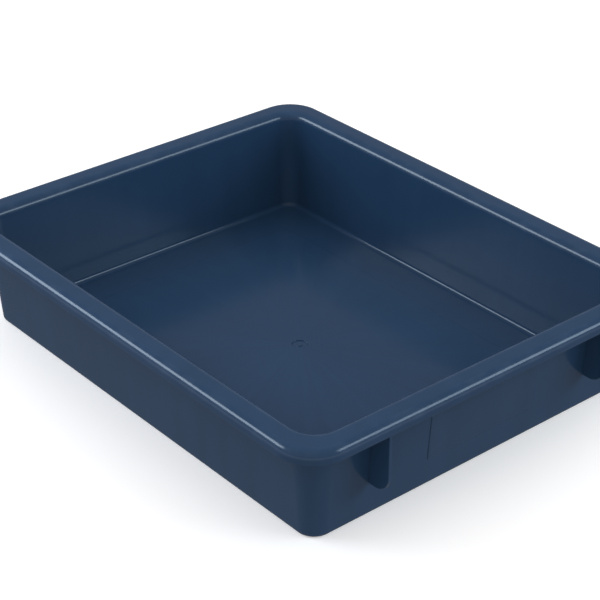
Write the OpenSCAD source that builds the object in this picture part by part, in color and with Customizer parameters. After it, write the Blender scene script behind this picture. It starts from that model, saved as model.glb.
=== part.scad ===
// Shallow rectangular tray with an outward-leaning wall, a flanged rim and stiffening fins
// under the rim at both ends. It is one moulding, divided here at its own features: floor,
// wall runs and wall corners, rim rails and rim corners, fins, label pad and gate nub.
// The origin is the middle of the base, X runs along the length and Z points up.

/* [Tray] */
// Length over the rim
tray_l = 355; // [250:1:460]
// Width over the rim
tray_w = 288; // [220:1:400]
// Height from the base to the rim's top face
tray_h = 71.5; // [50:0.5:110]
// Thickness of the walls
wall_t = 2.6; // [1.8:0.1:3.2]
// Outward lean of the walls in degrees
draft = 4.4; // [2:0.1:6]
// Outer radius of the wall corners at the base, in plan
base_corner_r = 11.5; // [10:0.5:16]
// Rounding of the outer bottom edge
foot_r = 2.5; // [1:0.1:3]

/* [Floor] */
// Thickness of the floor
floor_t = 2.2; // [1.8:0.1:2.8]
// Fillet between the floor and the walls
floor_fillet_r = 3; // [1.5:0.1:3.5]
// Distance from the wall's foot to the raised middle of the floor
panel_inset = 28; // [15:1:45]
// Height of the raised middle above the band round it
panel_rise = 0.8; // [0.4:0.1:1.2]
// Corner radius of the raised middle
panel_corner_r = 10; // [4:1:20]
// Land between the edge of the raised middle and the recess below it
panel_land = 1.5; // [1:0.1:3]

/* [Gate mark] */
// Diameter of the dimple round the moulding gate
gate_d = 10; // [8:0.5:14]
// Depth of the dimple
gate_depth = 0.6; // [0.3:0.1:0.8]
// Diameter of the trimmed gate nub in the dimple
nub_d = 3.6; // [2:0.2:6]
// Height of the nub above the dimple's floor
nub_h = 0.4; // [0.2:0.1:0.6]

/* [Rim] */
// Width of the rim from the lip's outer face to the inner wall
rim_w = 17.6; // [16:0.1:22]
// Outer corner radius of the rim, in plan
rim_corner_r = 24.7; // [20:0.1:28]
// Thickness of the flange and of the lip
rim_t = 2.6; // [2:0.1:3]
// Height of the turned-down lip
lip_h = 8.2; // [7:0.1:14]
// Rounding of the rim's outer top edge
rim_outer_r = 5.4; // [4:0.1:6]
// Rounding of the rim's inner top edge
rim_inner_r = 5.8; // [3:0.1:6.5]

/* [End fins] */
// Thickness of a fin
fin_t = 2; // [1.5:0.1:3]
// Distance over the outer faces of a pair of fins
fin_span = 171; // [120:1:200]
// Height of a fin's lower end above the base
fin_bottom = 23.5; // [10:0.5:35]
// Radius of a fin's lower outer corner
fin_corner_r = 11; // [2:0.5:12]

/* [Label pad] */
// Width of the raised pad between the fins
pad_w = 82; // [40:1:100]
// Height of the pad's lower edge above the base
pad_bottom = 18; // [10:0.5:30]
// How far the pad stands out of the wall
pad_t = 0.4; // [0.3:0.1:1]

/* [Hidden] */
$fn = 96;
navy = "#37495f";
// Overlap that joins the pieces of one solid
weld = 0.5;

// A wall's section is drawn in (u, z): u is the distance outward from the axis of the wall's
// corners, so the same section serves the straight runs and the turned corners.
lean = tan(draft);
wall_u = wall_t / cos(draft);
function outer_u(z) = base_corner_r + z * lean;
function inner_u(z) = outer_u(z) - wall_u;

// The corner axes, worked back from the rim to the base
rim_reach = rim_w + inner_u(tray_h);
axis_x = tray_l / 2 - rim_reach;
axis_y = tray_w / 2 - rim_reach;
// The rim's own corners turn about an axis nearer the outside
rim_axis = rim_reach - rim_corner_r;

// Fillet at the wall's foot, rounding of the bottom edge, rounding of the rim's inner edge
fillet_z = floor_t + floor_fillet_r;
fillet_u = inner_u(fillet_z) - floor_fillet_r / cos(draft);
foot_u = outer_u(foot_r) - foot_r / cos(draft);
crest_z = tray_h - rim_inner_r;
crest_u = inner_u(crest_z) + rim_inner_r / cos(draft);

// Height at which the wall hands over to the rim
wall_top = tray_h - rim_inner_r - weld;
flange_z = tray_h - rim_t;
web_u = max(crest_u, outer_u(flange_z)) + weld;
// Plain width of flange behind the outer rounding
shoulder = rim_outer_r + weld;

// Half sizes of the floor's raised middle
panel_x = axis_x + inner_u(floor_t) - panel_inset;
panel_y = axis_y + inner_u(floor_t) - panel_inset;
panel_z = floor_t + panel_rise;

// ---- sections ----

// The sliver between a corner's two tangents and the arc that rounds it
module corner_sliver(points, centre, r) {
    difference() {
        polygon(points);
        translate(centre) circle(r);
    }
}

// Wall with its foot, from the base to the underside of the rim's rounding
module wall_section() {
    difference() {
        polygon([[fillet_u, 0], [outer_u(0), 0], [outer_u(wall_top), wall_top],
                 [inner_u(wall_top), wall_top], [inner_u(floor_t), floor_t],
                 [fillet_u, floor_t]]);
        corner_sliver([[foot_u, 0], [outer_u(0), 0],
                       [foot_u + foot_r * cos(draft), foot_r - foot_r * sin(draft)],
                       [foot_u, foot_r]],
                      [foot_u, foot_r], foot_r);
    }
    corner_sliver([[fillet_u, floor_t], [inner_u(floor_t), floor_t],
                   [fillet_u + floor_fillet_r * cos(draft),
                    fillet_z - floor_fillet_r * sin(draft)],
                   [fillet_u, fillet_z]],
                  [fillet_u, fillet_z], floor_fillet_r);
}

// Top of the wall, rounded over into the flange
module crest_section() {
    difference() {
        polygon([[inner_u(wall_top), wall_top], [outer_u(wall_top), wall_top],
                 [outer_u(flange_z), flange_z], [web_u + weld, flange_z],
                 [web_u + weld, tray_h], [inner_u(tray_h), tray_h]]);
        corner_sliver([[inner_u(tray_h), tray_h], [crest_u, tray_h], [crest_u, crest_z],
                       [crest_u - rim_inner_r * cos(draft),
                        crest_z + rim_inner_r * sin(draft)]],
                      [crest_u, crest_z], rim_inner_r);
    }
}

// A block whose upper outer corner is rounded
module round_shouldered(from_u, to_u, from_z, to_z, r) {
    translate([from_u, from_z]) square([to_u - r - from_u, to_z - from_z]);
    translate([from_u, from_z]) square([to_u - from_u, to_z - r - from_z]);
    translate([to_u - r, to_z - r]) circle(r);
}

// Turned-down lip with the outer rounding, its outer face at outer_face
module lip_section(outer_face) {
    intersection() {
        difference() {
            round_shouldered(outer_face - shoulder, outer_face,
                             tray_h - lip_h, tray_h, rim_outer_r);
            round_shouldered(outer_face - 2 * shoulder, outer_face - rim_t,
                             tray_h - 2 * lip_h, flange_z, rim_outer_r - rim_t);
        }
        translate([outer_face - shoulder, tray_h - lip_h]) square([shoulder, lip_h]);
    }
}

module rim_section() {
    crest_section();
    translate([web_u, flange_z]) square([rim_reach - shoulder - web_u + weld, rim_t]);
    lip_section(rim_reach);
}

// ---- ways of using a section ----

// Straight run of the given length: the section faces +X and runs along Y
module run(length) {
    rotate([90, 0, 0]) translate([0, 0, -length / 2]) linear_extrude(length) children();
}

// Quarter turn in the +X +Y corner
module quarter_turn() {
    rotate_extrude(angle = 90) children();
}

// Places a run on each side, where 0 faces +X, 1 faces +Y, 2 faces -X and 3 faces -Y
module on_side(side) {
    reach = side % 2 == 0 ? axis_x : axis_y;
    rotate(90 * side) translate([reach, 0, 0]) children();
}
function side_length(side) = 2 * (side % 2 == 0 ? axis_y : axis_x);

// Places a corner, counted from the +X +Y one anticlockwise
module on_corner(corner) {
    x = corner == 0 || corner == 3 ? axis_x : -axis_x;
    y = corner < 2 ? axis_y : -axis_y;
    translate([x, y, 0]) rotate(90 * corner) children();
}

module rounded_plate(half_x, half_y, r, height) {
    linear_extrude(height) {
        square([2 * half_x, 2 * (half_y - r)], center = true);
        square([2 * (half_x - r), 2 * half_y], center = true);
        for (x = [-1, 1], y = [-1, 1])
            translate([x * (half_x - r), y * (half_y - r)]) circle(r);
    }
}

// ---- sub-parts ----

module floor_plate() {
    color(navy) difference() {
        union() {
            rounded_plate(axis_x + fillet_u, axis_y + fillet_u, fillet_u, floor_t);
            rounded_plate(panel_x, panel_y, panel_corner_r, panel_z);
        }
        translate([0, 0, -weld])
            rounded_plate(panel_x - panel_land, panel_y - panel_land,
                          panel_corner_r - panel_land, panel_rise + weld);
        translate([0, 0, panel_z - gate_depth]) cylinder(h = gate_depth + weld, d = gate_d);
    }
}

module gate_nub() {
    color(navy) translate([0, 0, panel_z - gate_depth]) cylinder(h = nub_h, d = nub_d);
}

module wall_run(side) {
    color(navy) on_side(side) run(side_length(side)) wall_section();
}

module wall_corner(corner) {
    color(navy) on_corner(corner) quarter_turn() wall_section();
}

module rim_rail(side) {
    color(navy) on_side(side) run(side_length(side)) rim_section();
}

// The crest turns with the wall and the lip about its own axis; a flat web joins them
module rim_corner(corner) {
    web_half = rim_reach - shoulder + weld;
    web_corner = rim_corner_r - shoulder + weld;
    color(navy) on_corner(corner) {
        quarter_turn() crest_section();
        translate([rim_axis, rim_axis, 0]) quarter_turn() lip_section(rim_corner_r);
        translate([0, rim_axis / 2, 0]) run(rim_axis) lip_section(rim_reach);
        translate([rim_axis / 2, 0, 0]) rotate(90) run(rim_axis) lip_section(rim_reach);
        translate([0, 0, flange_z]) linear_extrude(rim_t) difference() {
            union() {
                square([web_half, rim_axis]);
                square([rim_axis, web_half]);
                translate([rim_axis, rim_axis]) intersection() {
                    circle(web_corner);
                    square(web_corner);
                }
            }
            circle(web_u);
        }
    }
}

// A plate between the wall, the flange and the lip that runs down the wall
module fin(side, across) {
    tip_u = rim_reach - rim_t;
    corner_u = tip_u - fin_corner_r;
    corner_z = fin_bottom + fin_corner_r;
    color(navy) on_side(side) translate([0, across * (fin_span - fin_t) / 2, 0])
        run(fin_t) difference() {
            union() {
                polygon([[outer_u(fin_bottom), fin_bottom], [corner_u, fin_bottom],
                         [corner_u, corner_z], [tip_u, corner_z],
                         [tip_u, flange_z - (rim_outer_r - rim_t)],
                         [corner_u, flange_z - (rim_outer_r - rim_t)],
                         [corner_u, flange_z], [outer_u(flange_z), flange_z]]);
                translate([corner_u, corner_z]) circle(fin_corner_r);
                round_shouldered(corner_u, tip_u, corner_z, flange_z, rim_outer_r - rim_t);
            }
            polygon([[0, 0], [outer_u(0), 0], [outer_u(flange_z), flange_z], [0, flange_z]]);
        }
}

module label_pad() {
    color(navy) on_side(0) run(pad_w)
        polygon([[outer_u(pad_bottom), pad_bottom],
                 [outer_u(pad_bottom) + pad_t, pad_bottom + pad_t],
                 [outer_u(flange_z) + pad_t, flange_z],
                 [outer_u(flange_z), flange_z]]);
}

floor_plate();  // floor
gate_nub();
wall_run(3);  // side_wall_front
wall_run(1);  // side_wall_back
wall_run(0);  // end_wall_right
wall_run(2);  // end_wall_left
wall_corner(0);  // wall_corner_back_right
wall_corner(1);  // wall_corner_back_left
wall_corner(2);  // wall_corner_front_left
wall_corner(3);  // wall_corner_front_right
rim_rail(3);  // rim_rail_front
rim_rail(1);  // rim_rail_back
rim_rail(0);  // rim_rail_right
rim_rail(2);  // rim_rail_left
rim_corner(0);  // rim_corner_back_right
rim_corner(1);  // rim_corner_back_left
rim_corner(2);  // rim_corner_front_left
rim_corner(3);  // rim_corner_front_right
fin(0, -1);  // fin_right_front
fin(0, 1);  // fin_right_back
fin(2, 1);  // fin_left_front
fin(2, -1);  // fin_left_back
label_pad();
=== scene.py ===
import math

import bmesh
import bpy
from bpy.props import FloatProperty, FloatVectorProperty, IntProperty, PointerProperty
from mathutils import Matrix, Vector


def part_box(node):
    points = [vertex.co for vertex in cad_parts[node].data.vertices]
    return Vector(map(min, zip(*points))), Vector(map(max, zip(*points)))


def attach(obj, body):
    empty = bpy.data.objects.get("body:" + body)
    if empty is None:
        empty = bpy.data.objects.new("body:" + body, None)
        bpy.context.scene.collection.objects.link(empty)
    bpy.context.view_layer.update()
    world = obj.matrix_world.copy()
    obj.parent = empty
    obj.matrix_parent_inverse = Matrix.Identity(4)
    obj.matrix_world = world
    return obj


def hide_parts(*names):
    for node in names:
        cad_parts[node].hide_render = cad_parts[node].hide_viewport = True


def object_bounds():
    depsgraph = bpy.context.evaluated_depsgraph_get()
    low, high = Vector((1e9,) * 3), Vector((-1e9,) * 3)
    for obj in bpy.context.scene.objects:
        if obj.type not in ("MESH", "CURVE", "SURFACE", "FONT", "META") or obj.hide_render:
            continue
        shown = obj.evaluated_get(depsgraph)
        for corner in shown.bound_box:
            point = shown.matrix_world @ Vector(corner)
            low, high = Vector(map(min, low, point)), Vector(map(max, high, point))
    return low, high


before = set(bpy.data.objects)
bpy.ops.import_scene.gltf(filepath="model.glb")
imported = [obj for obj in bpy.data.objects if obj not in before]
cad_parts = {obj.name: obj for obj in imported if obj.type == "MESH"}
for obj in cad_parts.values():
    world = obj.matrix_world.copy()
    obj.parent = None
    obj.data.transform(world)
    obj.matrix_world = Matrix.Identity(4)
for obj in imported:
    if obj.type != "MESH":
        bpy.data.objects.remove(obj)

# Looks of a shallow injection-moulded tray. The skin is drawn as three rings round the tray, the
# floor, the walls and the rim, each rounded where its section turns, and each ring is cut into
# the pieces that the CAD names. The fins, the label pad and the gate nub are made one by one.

bl_info = {
    "name": "Moulded tray",
    "version": (1, 0, 0),
    "blender": (4, 5, 0),
    "location": "View3D > Sidebar > Tray",
    "description": "Builds a shallow moulded plastic tray round its CAD frame, with a studio",
    "category": "Add Mesh",
}

MM = 0.001
BODY = "root"
MOULDING = "moulding"
LABEL = "label_pad"

# Which way each side and corner faces, and the CAD's names for what is there
SIDES = {"front": (0, -1), "back": (0, 1), "right": (1, 0), "left": (-1, 0)}
WALLS = {"front": "side_wall_front", "back": "side_wall_back",
         "right": "end_wall_right", "left": "end_wall_left"}
CORNERS = {f"{end}_{side}": (SIDES[side][0], SIDES[end][1])
           for end in ("front", "back") for side in ("right", "left")}
FINS = ("fin_right_front", "fin_right_back", "fin_left_front", "fin_left_back")

# Places taken from the frame. The corners of the walls turn about upright axes. The distance
# outward from them is called reach, so one section serves the straight runs and the corners.
CAD_LOW, CAD_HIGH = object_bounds()
AXIS = Vector((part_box("rim_rail_front")[1].x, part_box("rim_rail_right")[1].y))
RIM_TOP = CAD_HIGH.z
RIM_REACH = CAD_HIGH.x - AXIS.x
LIP_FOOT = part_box("rim_rail_front")[0].z
FLANGE_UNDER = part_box("fin_right_front")[1].z
RIM_THICK = RIM_TOP - FLANGE_UNDER
WALL_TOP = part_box("end_wall_right")[1].z
WALL_TOP_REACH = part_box("end_wall_right")[1].x - AXIS.x
FLOOR_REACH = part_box("floor")[1].x - AXIS.x
PANEL_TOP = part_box("floor")[1].z
GATE_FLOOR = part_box("gate_nub")[0].z

# Flat strip left beside a rounding or a cut, and how deep a part is sunk in its neighbour
LAND = 0.5 * MM
SINK = 0.2 * MM
# Where the strip softboxes hang, left of the camera and right behind the tray, and their size
FRONT_STRIP = Vector((-0.78, -0.69, 0.61))
BACK_STRIP = Vector((0.80, 0.72, 0.57))
STRIP_LENGTH = 1.0
STRIP_WIDTH = 0.36
# Half the side of the studio floor
FLOOR_HALF = 4.0
# Distance within which two points are one, and the angle from which an edge is left sharp
WELD = 0.001 * MM
SQUARE = math.radians(50)


def to_linear(hex_colour):
    """The linear RGB of an sRGB colour written as #rrggbb."""
    channels = [int(hex_colour[i:i + 2], 16) / 255 for i in (1, 3, 5)]
    return tuple(c / 12.92 if c <= 0.04045 else ((c + 0.055) / 1.055) ** 2.4 for c in channels)


# ---- sizes, finishes and studio settings ----

def length(name, description, millimetres):
    """A property for a length, given in millimetres."""
    return FloatProperty(name=name, description=description, default=millimetres * MM,
                         unit="LENGTH", subtype="DISTANCE")


def angle(name, description, degrees):
    """A property for an angle, given in degrees."""
    return FloatProperty(name=name, description=description, default=math.radians(degrees),
                         unit="ROTATION", subtype="ANGLE")


class TraySizes(bpy.types.PropertyGroup):
    draft: angle("Draft", "Outward lean of the walls", 4.4)
    wall: length("Wall", "Thickness of the walls", 2.6)
    floor: length("Floor", "Thickness of the floor", 2.2)
    foot_round: length("Foot rounding", "Rounding of the outer bottom edge", 2.5)
    floor_fillet: length("Floor fillet", "Fillet between the floor and the walls", 3.0)
    panel_inset: length("Panel inset", "Distance from the wall's foot to the raised middle", 28.0)
    panel_corner: length("Panel corner", "Corner radius of the raised middle", 10.0)
    panel_land: length("Panel land", "Land between the raised edge and the recess below it", 1.5)
    panel_round: length("Panel rounding", "Rounding of the raised middle's edge", 0.35)
    gate: length("Gate dimple", "Diameter of the dimple round the moulding gate", 10.0)
    gate_round: length("Gate rounding", "Rounding of the dimple's edge", 0.25)
    rim_corner: length("Rim corner", "Outer corner radius of the rim in plan", 24.7)
    rim_outer: length("Outer rounding", "Rounding of the rim's outer top edge", 5.4)
    rim_inner: length("Inner rounding", "Rounding of the rim's inner top edge", 5.8)
    rim_root: length("Root fillet", "Fillet between the wall and the rim's underside", 0.8)
    edge_round: length("Edge rounding", "Softening of the lip's free edges", 0.5)
    fin_corner: length("Fin corner", "Radius of a fin's lower outer corner", 11.0)
    fin_round: length("Fin rounding", "Softening of a fin's edges", 0.4)
    pad_corner: length("Pad corner", "Corner radius of the label pad", 1.5)
    pad_round: length("Pad rounding", "Softening of the label pad's edge", 0.3)
    stub: length("Corner stub", "Straight length that a corner piece keeps at each end", 8.0)
    turn_steps: IntProperty(name="Corner steps", description="Faces round a corner in plan",
                            default=28, min=8, max=64)
    edge_steps: IntProperty(name="Rounding steps", description="Faces across a large rounding",
                            default=12, min=4, max=24)


class TrayFinish(bpy.types.PropertyGroup):
    navy: FloatVectorProperty(name="Navy", description="Colour of the moulding", subtype="COLOR",
                              size=3, min=0, max=1, default=to_linear("#243c57"))
    gloss: FloatProperty(name="Roughness", description="Roughness of the polished moulding",
                         default=0.17, min=0, max=1, subtype="FACTOR")
    satin: FloatProperty(name="Pad roughness", description="Roughness of the label pad",
                         default=0.34, min=0, max=1, subtype="FACTOR")
    worn: FloatVectorProperty(name="Worn edge", description="Colour of edges rubbed by handling",
                              subtype="COLOR", size=3, min=0, max=1,
                              default=to_linear("#4c6078"))
    paper: FloatVectorProperty(name="Floor", description="Colour of the studio floor",
                               subtype="COLOR", size=3, min=0, max=1,
                               default=to_linear("#f5f0ed"))


class TrayStudio(bpy.types.PropertyGroup):
    azimuth: angle("Azimuth", "Turn of the camera from the front", 50)
    elevation: angle("Elevation", "Height of the camera as an angle", 30)
    distance: length("Distance", "Distance from the camera to the aim", 1210)
    aim_x: length("Aim along", "Where the camera looks, along the tray", -46.2)
    aim_y: length("Aim across", "Where the camera looks, across the tray", 39.0)
    lens: FloatProperty(name="Lens", description="Focal length in millimetres", default=110.76)
    room: FloatProperty(name="Room light", description="Strength of the white room", default=0.9)
    room_under: FloatProperty(name="Room light from below", default=0.5,
                              description="Strength of the room under the horizon")
    room_gloss: FloatProperty(name="Room in the gloss", default=0.2,
                              description="Strength of the room as glossy faces show it")
    horizon: FloatProperty(name="Horizon in the gloss", default=0.6,
                           description="Strength of the paper's far edge as glossy faces show it")
    table_glow: FloatProperty(name="Table light", default=0.24,
                              description="Light that comes up through the paper")
    front_power: FloatProperty(name="Front strip", description="Power of the left front softbox",
                               default=7.5, unit="POWER")
    back_power: FloatProperty(name="Back strip", description="Power of the right back softbox",
                              default=5.4, unit="POWER")


# ---- meshes ----

class Turn:
    """A corner of a section and the level loop round the tray that passes through it. The loop's
    own corners turn about upright axes that are shifted outward from the walls' axes, and the
    one at +X +Y is kept. Handling wears some of the roundings."""

    def __init__(self, reach, height, rounding=0.0, shift=0.0, worn=False):
        self.axis = AXIS + Vector((shift, shift))
        self.radius = reach - shift
        self.height = height
        self.rounding = rounding
        self.worn = worn

    def place(self):
        """Where the section crosses the plane through the tray's length."""
        return Vector((self.axis.x + self.radius, self.height))

    def offset(self, before, after):
        """How far the rounding runs along each of the two faces that meet here."""
        back = before.place() - self.place()
        ahead = after.place() - self.place()
        return self.rounding / math.tan(back.angle(ahead) / 2)


class RoundTurn(Turn):
    """A corner of a section whose loop is a circle about the middle of the tray."""

    def __init__(self, radius, height, rounding=0.0):
        super().__init__(radius, height, rounding)
        self.axis = Vector((0, 0))


def round_corners(bm, verts, radius, steps):
    """Round the corners of a flat right-angled face."""
    return bmesh.ops.bevel(bm, geom=verts, affect="VERTICES", offset=radius,
                           offset_type="OFFSET", segments=steps, profile=0.5, material=-1,
                           clamp_overlap=False)


def round_edges(bm, edges, offset, steps, worn=False):
    """Round some edges. Worn ones are marked, away from the faces that stay flat."""
    made = bmesh.ops.bevel(bm, geom=edges, affect="EDGES", offset=offset, offset_type="OFFSET",
                           segments=steps, profile=0.5, material=-1, loop_slide=True,
                           clamp_overlap=False)
    if worn:
        layer = bm.verts.layers.float["worn"]
        faces = set(made["faces"])
        for vert in made["verts"]:
            if all(face in faces for face in vert.link_faces):
                vert[layer] = 1.0


def new_mesh():
    """An empty mesh with a mark for worn edges."""
    bm = bmesh.new()
    bm.verts.layers.float.new("worn")
    return bm


def first_loop(bm, turn, steps):
    """The level loop of edges through the first corner of a section."""
    corners = bmesh.ops.create_grid(bm, x_segments=1, y_segments=1, size=1)["verts"]
    half = turn.axis + Vector((turn.radius, turn.radius))
    bmesh.ops.scale(bm, vec=(*half, 1), verts=corners)
    bmesh.ops.translate(bm, vec=(0, 0, turn.height), verts=corners)
    round_corners(bm, corners, turn.radius, steps)
    bmesh.ops.delete(bm, geom=bm.faces[:], context="FACES_ONLY")
    return bm.edges[:]


def next_loop(bm, loop, before, turn):
    """Extrude a loop of edges to the next corner of a section."""
    made = bmesh.ops.extrude_edge_only(bm, edges=loop)["geom"]
    verts = [item for item in made if isinstance(item, bmesh.types.BMVert)]
    growth = turn.radius / before.radius
    for x, y in CORNERS.values():
        corner = [vert for vert in verts if vert.co.x * x > 0 and vert.co.y * y > 0]
        old = Vector((x * before.axis.x, y * before.axis.y, before.height))
        new = Vector((x * turn.axis.x, y * turn.axis.y, turn.height))
        bmesh.ops.scale(bm, vec=(growth, growth, 1), space=Matrix.Translation(-old), verts=corner)
        bmesh.ops.translate(bm, vec=new - old, verts=corner)
    return [item for item in made if isinstance(item, bmesh.types.BMEdge) and item.is_boundary]


def skin(section, sizes, closed):
    """Faces round the tray through the corners of a section, with their roundings. A closed
    section gives a ring, and an open one a plate."""
    bm = new_mesh()
    loops = [first_loop(bm, section[0], sizes.turn_steps)]
    for before, turn in zip(section, section[1:] + section[:1] if closed else section[1:]):
        loops.append(next_loop(bm, loops[-1], before, turn))
    if closed:
        bmesh.ops.remove_doubles(bm, verts=bm.verts, dist=WELD)
    else:
        bmesh.ops.holes_fill(bm, edges=loops[0] + loops[-1], sides=0)
    bmesh.ops.recalc_face_normals(bm, faces=bm.faces)
    for i, turn in enumerate(section):
        if turn.rounding:
            offset = turn.offset(section[i - 1], section[(i + 1) % len(section)])
            share = min(1, turn.rounding / (3 * MM))
            round_edges(bm, loops[i], offset, max(3, round(sizes.edge_steps * share)), turn.worn)
    return bm


def cut_away(bm, point, normal):
    """Remove what lies beyond a plane and close the cut with flat faces."""
    cut = bmesh.ops.bisect_plane(bm, geom=bm.verts[:] + bm.edges[:] + bm.faces[:], dist=1e-7,
                                 plane_co=point, plane_no=normal, clear_outer=True)
    edges = [item for item in cut["geom_cut"] if isinstance(item, bmesh.types.BMEdge)]
    if edges:
        bmesh.ops.holes_fill(bm, edges=edges, sides=0)


def straight_piece(ring, side, stub):
    """The straight run of a ring on one side, short of the corner pieces' stubs."""
    x, y = SIDES[side]
    along = Vector((abs(y), abs(x), 0))
    reach = abs(y) * AXIS.x + abs(x) * AXIS.y - stub
    bm = ring.copy()
    cut_away(bm, along * reach, along)
    cut_away(bm, along * -reach, -along)
    cut_away(bm, Vector(), Vector((-x, -y, 0)))
    return bm


def corner_piece(ring, corner, stub):
    """One corner of a ring, with a short straight stub at each end."""
    x, y = CORNERS[corner]
    bm = ring.copy()
    cut_away(bm, Vector((x * (AXIS.x - stub), 0, 0)), Vector((-x, 0, 0)))
    cut_away(bm, Vector((0, y * (AXIS.y - stub), 0)), Vector((0, -y, 0)))
    return bm


def finish_piece(bm, name, finish, slot, *nodes):
    """Make a smooth-shaded piece that rides on the tray and stands for its CAD nodes."""
    bmesh.ops.remove_doubles(bm, verts=bm.verts, dist=WELD)
    bmesh.ops.recalc_face_normals(bm, faces=bm.faces)
    # Square edges are where a piece meets its neighbour, so shading doesn't bend round them
    for edge in bm.edges:
        edge.smooth = edge.calc_face_angle() < SQUARE
    mesh = bpy.data.meshes.new(name)
    bm.to_mesh(mesh)
    bm.free()
    mesh.shade_smooth()
    mesh.materials.append(finish)
    piece = bpy.data.objects.new(name, mesh)
    bpy.context.collection.objects.link(piece)
    weighted = piece.modifiers.new("Weighted normals", "WEIGHTED_NORMAL")
    weighted.keep_sharp = True
    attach(piece, BODY)
    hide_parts(*nodes)
    return piece


class WallLines:
    """Reach of the walls' two faces at any height."""

    def __init__(self, sizes):
        self.lean = math.tan(sizes.draft)
        self.thick = sizes.wall / math.cos(sizes.draft)

    def outer(self, height):
        return WALL_TOP_REACH - (WALL_TOP - height) * self.lean

    def inner(self, height):
        return self.outer(height) - self.thick


# ---- materials ----

def add_node(tree, kind, settings=None, inputs=None, links=None):
    """Add a node with its settings, its input values and its incoming links."""
    node = tree.nodes.new(kind)
    for name, value in (settings or {}).items():
        setattr(node, name, value)
    for name, value in (inputs or {}).items():
        node.inputs[name].default_value = value
    for name, source in (links or {}).items():
        tree.links.new(source, node.inputs[name])
    return node


def polypropylene(name, roughness, grain, relief):
    """Navy polypropylene as the mould leaves it. The grain is in patterns a metre, and the
    relief is its depth."""
    if name in bpy.data.materials:
        return bpy.data.materials[name]
    finish = bpy.context.scene.tray_finish
    material = bpy.data.materials.new(name)
    material.use_nodes = True
    tree = material.node_tree
    tree.nodes.clear()
    place = add_node(tree, "ShaderNodeTexCoord").outputs["Object"]

    # Pigment mixes a little unevenly, so large faces aren't quite one shade: patches of 60 mm
    clouds = add_node(tree, "ShaderNodeTexNoise", inputs={"Scale": 16.0, "Detail": 2.0},
                      links={"Vector": place})
    # Faint flow lines where the melt spread from the gate. They depend on the heading alone.
    level = add_node(tree, "ShaderNodeVectorMath", {"operation": "MULTIPLY"},
                     {1: (1.0, 1.0, 0.0)}, {0: place})
    heading = add_node(tree, "ShaderNodeVectorMath", {"operation": "NORMALIZE"},
                       links={0: level.outputs["Vector"]})
    flow = add_node(tree, "ShaderNodeTexNoise", inputs={"Scale": 11.0, "Detail": 3.0},
                    links={"Vector": heading.outputs["Vector"]})
    mottle = add_node(tree, "ShaderNodeMath", {"operation": "ADD"},
                      links={0: clouds.outputs["Fac"], 1: flow.outputs["Fac"]})
    shade = add_node(tree, "ShaderNodeMapRange",
                     inputs={"From Min": 0.7, "From Max": 1.3, "To Min": 0.94, "To Max": 1.06},
                     links={"Value": mottle.outputs["Value"]})
    navy = add_node(tree, "ShaderNodeHueSaturation", inputs={"Color": (*finish.navy, 1)},
                    links={"Value": shade.outputs["Result"]})

    # Handling rubs the roundings in patches of 10 mm: they turn paler and duller
    rubbed = add_node(tree, "ShaderNodeAttribute", {"attribute_name": "worn"})
    patches = add_node(tree, "ShaderNodeTexNoise", inputs={"Scale": 95.0, "Detail": 4.0},
                       links={"Vector": place})
    bare = add_node(tree, "ShaderNodeMapRange",
                    inputs={"From Min": 0.45, "From Max": 0.7, "To Max": 0.12},
                    links={"Value": patches.outputs["Fac"]})
    wear = add_node(tree, "ShaderNodeMath", {"operation": "MULTIPLY"},
                    links={0: bare.outputs["Result"], 1: rubbed.outputs["Fac"]})
    colour = add_node(tree, "ShaderNodeMix", {"data_type": "RGBA"}, {7: (*finish.worn, 1)},
                      {0: wear.outputs["Value"], 6: navy.outputs["Color"]})

    # Hairline scuffs from tools, 40 mm long and drawn 2 mm wide so that they can be seen at all
    stretched = add_node(tree, "ShaderNodeMapping",
                         inputs={"Rotation": (0.0, 0.0, 0.6), "Scale": (25.0, 500.0, 60.0)},
                         links={"Vector": place})
    streaks = add_node(tree, "ShaderNodeTexNoise", inputs={"Scale": 1.0, "Detail": 3.0},
                       links={"Vector": stretched.outputs["Vector"]})
    scuffs = add_node(tree, "ShaderNodeMapRange",
                      inputs={"From Min": 0.58, "From Max": 0.8, "To Min": roughness,
                              "To Max": roughness + 0.05},
                      links={"Value": streaks.outputs["Fac"]})
    dulled = add_node(tree, "ShaderNodeMath", {"operation": "MULTIPLY_ADD"}, {1: 0.3},
                      {0: wear.outputs["Value"], 2: scuffs.outputs["Result"]})

    # Moulded skin. Its real grain is under 0.3 mm, so it is drawn coarser and shallower.
    skin_grain = add_node(tree, "ShaderNodeTexNoise", inputs={"Scale": grain, "Detail": 3.0},
                          links={"Vector": place})
    bump = add_node(tree, "ShaderNodeBump", inputs={"Strength": 0.5, "Distance": relief},
                    links={"Height": skin_grain.outputs["Fac"]})
    shader = add_node(tree, "ShaderNodeBsdfPrincipled", inputs={"IOR": 1.49},
                      links={"Base Color": colour.outputs[2],
                             "Roughness": dulled.outputs["Value"],
                             "Normal": bump.outputs["Normal"]})
    add_node(tree, "ShaderNodeOutputMaterial", links={"Surface": shader.outputs["BSDF"]})
    return material


def moulded_polypropylene():
    """Injection moulded against polished steel: the eye sees dim, soft-edged reflections."""
    finish = bpy.context.scene.tray_finish
    return polypropylene("polypropylene_moulded_gloss", finish.gloss, 700.0, 0.03 * MM)


def eroded_polypropylene():
    """Injection moulded against spark-eroded steel: the eye sees an even, duller pad."""
    finish = bpy.context.scene.tray_finish
    return polypropylene("polypropylene_spark_eroded_satin", finish.satin, 1000.0, 0.06 * MM)


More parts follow.
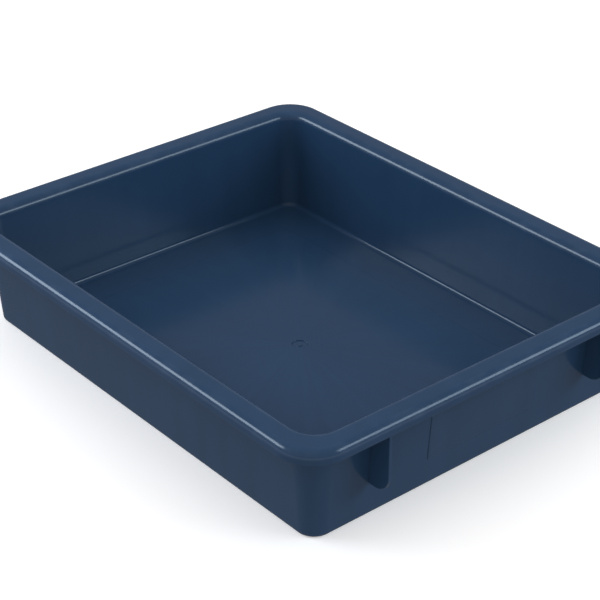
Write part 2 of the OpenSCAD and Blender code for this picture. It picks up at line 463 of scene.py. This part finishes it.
def studio_paper():
    """Seamless background paper on a light table: matt, nearly white, with a slight grain."""
    finish = bpy.context.scene.tray_finish
    studio = bpy.context.scene.tray_studio
    material = bpy.data.materials.new("paper_matt_white")
    material.use_nodes = True
    tree = material.node_tree
    tree.nodes.clear()
    place = add_node(tree, "ShaderNodeTexCoord").outputs["Object"]
    # Pressed fibres, drawn as a 2 mm grain: the eye sees paper and not an empty plane
    fibres = add_node(tree, "ShaderNodeTexNoise", inputs={"Scale": 500.0, "Detail": 2.0},
                      links={"Vector": place})
    bump = add_node(tree, "ShaderNodeBump", inputs={"Strength": 0.3, "Distance": 0.05 * MM},
                    links={"Height": fibres.outputs["Fac"]})
    shader = add_node(tree, "ShaderNodeBsdfPrincipled",
                      inputs={"Base Color": (*finish.paper, 1), "Roughness": 0.9,
                              "Specular IOR Level": 0.1, "Emission Color": (1, 1, 1, 1),
                              "Emission Strength": studio.table_glow},
                      links={"Normal": bump.outputs["Normal"]})
    add_node(tree, "ShaderNodeOutputMaterial", links={"Surface": shader.outputs["BSDF"]})
    return material


# ---- studio ----

def add_softbox(scene, name, place, along, power, colour):
    """A strip light that faces the tray, with its long side turned along a direction."""
    light = bpy.data.lights.new(name, "AREA")
    light.shape = "RECTANGLE"
    light.size = STRIP_LENGTH
    light.size_y = STRIP_WIDTH
    light.energy = power
    light.color = colour
    facing = place.normalized()
    side = (along - facing * along.dot(facing)).normalized()
    lamp = bpy.data.objects.new(name, light)
    lamp.location = place
    lamp.rotation_euler = Matrix((side, facing.cross(side), facing)).transposed().to_euler()
    scene.collection.objects.link(lamp)


# ---- operators ----

class TRAY_OT_floor(bpy.types.Operator):
    """Floor with its raised middle, the recess below it and the dimple round the gate"""
    bl_idname = "tray.floor"
    bl_label = "Floor"

    def execute(self, context):
        sizes = context.scene.tray_sizes
        wall = WallLines(sizes)
        join = FLOOR_REACH - 2 * LAND
        panel = wall.inner(sizes.floor) - sizes.panel_inset
        recess = panel - sizes.panel_land
        shift = panel - sizes.panel_corner
        section = [Turn(recess, PANEL_TOP - sizes.floor, sizes.panel_round, shift),
                   Turn(recess, 0, sizes.panel_round, shift),
                   Turn(join, 0),
                   Turn(join, sizes.floor),
                   Turn(panel, sizes.floor, sizes.panel_round, shift),
                   Turn(panel, PANEL_TOP, sizes.panel_round, shift)]
        section += [RoundTurn(sizes.gate / 2, PANEL_TOP, sizes.gate_round),
                    RoundTurn(sizes.gate / 2, GATE_FLOOR, sizes.gate_round)]
        bm = skin(section, sizes, closed=False)
        finish_piece(bm, "tray_floor", moulded_polypropylene(), MOULDING, "floor")
        return {"FINISHED"}


class TRAY_OT_walls(bpy.types.Operator):
    """Leaning walls and their corners, from the floor's edge to the rim"""
    bl_idname = "tray.walls"
    bl_label = "Walls"

    def execute(self, context):
        sizes = context.scene.tray_sizes
        wall = WallLines(sizes)
        join = FLOOR_REACH - 2 * LAND
        section = [Turn(join, sizes.floor),
                   Turn(wall.inner(sizes.floor), sizes.floor, sizes.floor_fillet),
                   Turn(wall.inner(WALL_TOP), WALL_TOP),
                   Turn(wall.outer(WALL_TOP), WALL_TOP),
                   Turn(wall.outer(0), 0, sizes.foot_round, worn=True),
                   Turn(join, 0)]
        ring = skin(section, sizes, closed=True)
        for side, node in WALLS.items():
            finish_piece(straight_piece(ring, side, sizes.stub), f"tray_{node}",
                         moulded_polypropylene(), MOULDING, node)
        for corner in CORNERS:
            node = f"wall_corner_{corner}"
            finish_piece(corner_piece(ring, corner, sizes.stub), f"tray_{node}",
                         moulded_polypropylene(), MOULDING, node)
        ring.free()
        return {"FINISHED"}


class TRAY_OT_rim(bpy.types.Operator):
    """Flanged rim with its turned-down lip, as four rails and four corners"""
    bl_idname = "tray.rim"
    bl_label = "Rim"

    def execute(self, context):
        sizes = context.scene.tray_sizes
        wall = WallLines(sizes)
        shift = RIM_REACH - sizes.rim_corner
        crest = wall.inner(RIM_TOP) + sizes.rim_inner + LAND
        shoulder = RIM_REACH - sizes.rim_outer - LAND
        inside = RIM_REACH - RIM_THICK
        section = [Turn(wall.inner(WALL_TOP), WALL_TOP),
                   Turn(wall.inner(RIM_TOP), RIM_TOP, sizes.rim_inner, worn=True),
                   Turn(crest, RIM_TOP),
                   Turn(shoulder, RIM_TOP, shift=shift),
                   Turn(RIM_REACH, RIM_TOP, sizes.rim_outer, shift, worn=True),
                   Turn(RIM_REACH, LIP_FOOT, sizes.edge_round, shift, worn=True),
                   Turn(inside, LIP_FOOT, sizes.edge_round, shift),
                   Turn(inside, FLANGE_UNDER, sizes.rim_outer - RIM_THICK, shift),
                   Turn(shoulder, FLANGE_UNDER, shift=shift),
                   Turn(crest, FLANGE_UNDER),
                   Turn(wall.outer(FLANGE_UNDER), FLANGE_UNDER, sizes.rim_root),
                   Turn(wall.outer(WALL_TOP), WALL_TOP)]
        ring = skin(section, sizes, closed=True)
        for side in SIDES:
            node = f"rim_rail_{side}"
            finish_piece(straight_piece(ring, side, sizes.stub), f"tray_{node}",
                         moulded_polypropylene(), MOULDING, node)
        for corner in CORNERS:
            node = f"rim_corner_{corner}"
            finish_piece(corner_piece(ring, corner, sizes.stub), f"tray_{node}",
                         moulded_polypropylene(), MOULDING, node)
        ring.free()
        return {"FINISHED"}


class TRAY_OT_fins(bpy.types.Operator):
    """Stiffening fins between the end walls and the rim"""
    bl_idname = "tray.fins"
    bl_label = "Fins"

    def execute(self, context):
        sizes = context.scene.tray_sizes
        wall = WallLines(sizes)
        tip = RIM_REACH - RIM_THICK + SINK
        for node in FINS:
            low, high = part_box(node)
            end = math.copysign(1, low.x)
            outline = [(wall.outer(low.z) - SINK, low.z), (tip, low.z), (tip, FLANGE_UNDER),
                       (wall.outer(FLANGE_UNDER) - SINK, FLANGE_UNDER)]
            bm = new_mesh()
            points = [(end * (AXIS.x + reach), low.y, height) for reach, height in outline]
            verts = [bmesh.ops.create_vert(bm, co=point)["vert"][0] for point in points]
            bmesh.ops.contextual_create(bm, geom=verts)
            round_corners(bm, verts[1:2], sizes.fin_corner, sizes.edge_steps)
            round_corners(bm, verts[2:3], sizes.rim_outer - RIM_THICK, sizes.edge_steps // 2)
            made = bmesh.ops.extrude_face_region(bm, geom=bm.faces[:])["geom"]
            moved = [item for item in made if isinstance(item, bmesh.types.BMVert)]
            bmesh.ops.translate(bm, vec=(0, high.y - low.y, 0), verts=moved)
            bmesh.ops.recalc_face_normals(bm, faces=bm.faces)
            outlines = [edge for edge in bm.edges
                        if edge.verts[0].co.y == edge.verts[1].co.y]
            round_edges(bm, outlines, sizes.fin_round, 3, worn=True)
            finish_piece(bm, f"tray_{node}", moulded_polypropylene(), MOULDING, node)
        return {"FINISHED"}


class TRAY_OT_label_pad(bpy.types.Operator):
    """Raised pad for a label between the fins of the right end"""
    bl_idname = "tray.label_pad"
    bl_label = "Label pad"

    def execute(self, context):
        sizes = context.scene.tray_sizes
        wall = WallLines(sizes)
        low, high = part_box(LABEL)
        proud = high.x - AXIS.x - wall.outer(high.z)
        bm = new_mesh()
        corners = [(y, z) for y, z in ((low.y, low.z), (high.y, low.z),
                                       (high.y, high.z), (low.y, high.z))]
        verts = [bmesh.ops.create_vert(bm, co=(AXIS.x + wall.outer(z) + proud, y, z))["vert"][0]
                 for y, z in corners]
        bmesh.ops.contextual_create(bm, geom=verts)
        round_corners(bm, verts[:2], sizes.pad_corner, sizes.edge_steps // 2)
        face_edges = bm.edges[:]
        made = bmesh.ops.extrude_face_region(bm, geom=bm.faces[:])["geom"]
        moved = [item for item in made if isinstance(item, bmesh.types.BMVert)]
        bmesh.ops.translate(bm, vec=(-proud - SINK, 0, 0), verts=moved)
        bmesh.ops.recalc_face_normals(bm, faces=bm.faces)
        round_edges(bm, face_edges, sizes.pad_round, 4, worn=True)
        finish_piece(bm, "tray_label_pad", eroded_polypropylene(), LABEL, LABEL)
        return {"FINISHED"}


class TRAY_OT_gate_nub(bpy.types.Operator):
    """Trimmed nub that the moulding gate leaves in its dimple"""
    bl_idname = "tray.gate_nub"
    bl_label = "Gate nub"

    def execute(self, context):
        low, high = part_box("gate_nub")
        centre = (low + high) / 2
        height = high.z - low.z
        bm = new_mesh()
        bmesh.ops.create_cone(bm, cap_ends=True, segments=32, depth=height,
                              radius1=(high.x - low.x) / 2, radius2=(high.x - low.x) / 2,
                              matrix=Matrix.Translation(centre))
        top = max(bm.faces, key=lambda face: face.calc_center_median().z)
        rim = top.edges[:]
        bmesh.ops.inset_region(bm, faces=[top], thickness=height * 1.5, depth=-height / 2)
        round_edges(bm, rim, height / 3, 3, worn=True)
        finish_piece(bm, "tray_gate_nub", moulded_polypropylene(), MOULDING, "gate_nub")
        return {"FINISHED"}


class TRAY_OT_studio(bpy.types.Operator):
    """Pale floor, soft light and the camera"""
    bl_idname = "tray.studio"
    bl_label = "Studio"

    def execute(self, context):
        scene = context.scene
        studio = scene.tray_studio
        bm = bmesh.new()
        bmesh.ops.create_grid(bm, x_segments=8, y_segments=8, size=FLOOR_HALF)
        mesh = bpy.data.meshes.new("studio_floor")
        bm.to_mesh(mesh)
        bm.free()
        mesh.materials.append(studio_paper())
        floor = bpy.data.objects.new("studio_floor", mesh)
        scene.collection.objects.link(floor)
        # The tray shows the dim room instead of the bright paper, as a flag over it would do
        floor.visible_glossy = False
        floor.visible_diffuse = False

        aim = Vector((studio.aim_x, studio.aim_y, 0))
        back = Vector((math.sin(studio.azimuth) * math.cos(studio.elevation),
                       -math.cos(studio.azimuth) * math.cos(studio.elevation),
                       math.sin(studio.elevation)))
        camera = bpy.data.objects.new("camera", bpy.data.cameras.new("camera"))
        camera.data.lens = studio.lens
        camera.data.clip_start = 0.01
        camera.location = aim + back * studio.distance
        camera.rotation_euler = back.to_track_quat("Z", "Y").to_euler()
        scene.collection.objects.link(camera)
        scene.camera = camera

        add_softbox(scene, "front_strip", FRONT_STRIP, Vector((1, 0, 0)),
                    studio.front_power, to_linear("#dceeff"))
        add_softbox(scene, "back_strip", BACK_STRIP, Vector((0, 1, 0)),
                    studio.back_power, to_linear("#d6eeff"))

        # White for the eye and for matt faces, and dimmer where the gloss shows it
        world = bpy.data.worlds.new("white_room")
        world.use_nodes = True
        tree = world.node_tree
        tree.nodes.clear()
        rays = add_node(tree, "ShaderNodeLightPath")
        # The height of a direction picks out a bright band just under the horizon
        heading = add_node(tree, "ShaderNodeTexCoord")
        split = add_node(tree, "ShaderNodeSeparateXYZ", links={0: heading.outputs["Generated"]})
        fall = add_node(tree, "ShaderNodeMath", {"operation": "ADD"}, {1: 0.06},
                        {0: split.outputs["Z"]})
        distance = add_node(tree, "ShaderNodeMath", {"operation": "ABSOLUTE"},
                            links={0: fall.outputs["Value"]})
        band = add_node(tree, "ShaderNodeMapRange",
                        inputs={"From Min": 0.06, "From Max": 0.2, "To Min": studio.horizon,
                                "To Max": studio.room_gloss},
                        links={"Value": distance.outputs["Value"]})
        matt = add_node(tree, "ShaderNodeMapRange",
                        inputs={"From Min": -0.3, "From Max": 0.0, "To Min": studio.room_under,
                                "To Max": studio.room},
                        links={"Value": split.outputs["Z"]})
        room = add_node(tree, "ShaderNodeMapRange",
                        links={"Value": rays.outputs["Is Glossy Ray"],
                               "To Min": matt.outputs["Result"],
                               "To Max": band.outputs["Result"]})
        light = add_node(tree, "ShaderNodeBackground", inputs={"Color": (1, 1, 1, 1)},
                         links={"Strength": room.outputs["Result"]})
        add_node(tree, "ShaderNodeOutputWorld", links={"Surface": light.outputs["Background"]})
        scene.world = world
        scene.view_settings.view_transform = "Standard"
        return {"FINISHED"}


class TRAY_PT_panel(bpy.types.Panel):
    """Sidebar panel with the tray's pieces and settings"""
    bl_label = "Moulded tray"
    bl_idname = "TRAY_PT_panel"
    bl_space_type = "VIEW_3D"
    bl_region_type = "UI"
    bl_category = "Tray"

    def draw(self, context):
        layout = self.layout
        for operator in PIECES:
            layout.operator(operator.bl_idname)
        for group in (context.scene.tray_sizes, context.scene.tray_finish,
                      context.scene.tray_studio):
            box = layout.box()
            for name in group.__annotations__:
                box.prop(group, name)


PIECES = (TRAY_OT_floor, TRAY_OT_walls, TRAY_OT_rim, TRAY_OT_fins, TRAY_OT_label_pad,
          TRAY_OT_gate_nub, TRAY_OT_studio)
GROUPS = {"tray_sizes": TraySizes, "tray_finish": TrayFinish, "tray_studio": TrayStudio}
CLASSES = (*GROUPS.values(), *PIECES, TRAY_PT_panel)


def register():
    for cls in CLASSES:
        bpy.utils.register_class(cls)
    for name, group in GROUPS.items():
        setattr(bpy.types.Scene, name, PointerProperty(type=group))


def unregister():
    for name in GROUPS:
        delattr(bpy.types.Scene, name)
    for cls in reversed(CLASSES):
        bpy.utils.unregister_class(cls)


def main():
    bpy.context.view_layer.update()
    register()
    bpy.ops.tray.floor()
    bpy.ops.tray.walls()
    bpy.ops.tray.rim()
    bpy.ops.tray.fins()
    bpy.ops.tray.label_pad()
    bpy.ops.tray.gate_nub()
    bpy.ops.tray.studio()


if __name__ == "__main__":
    main()
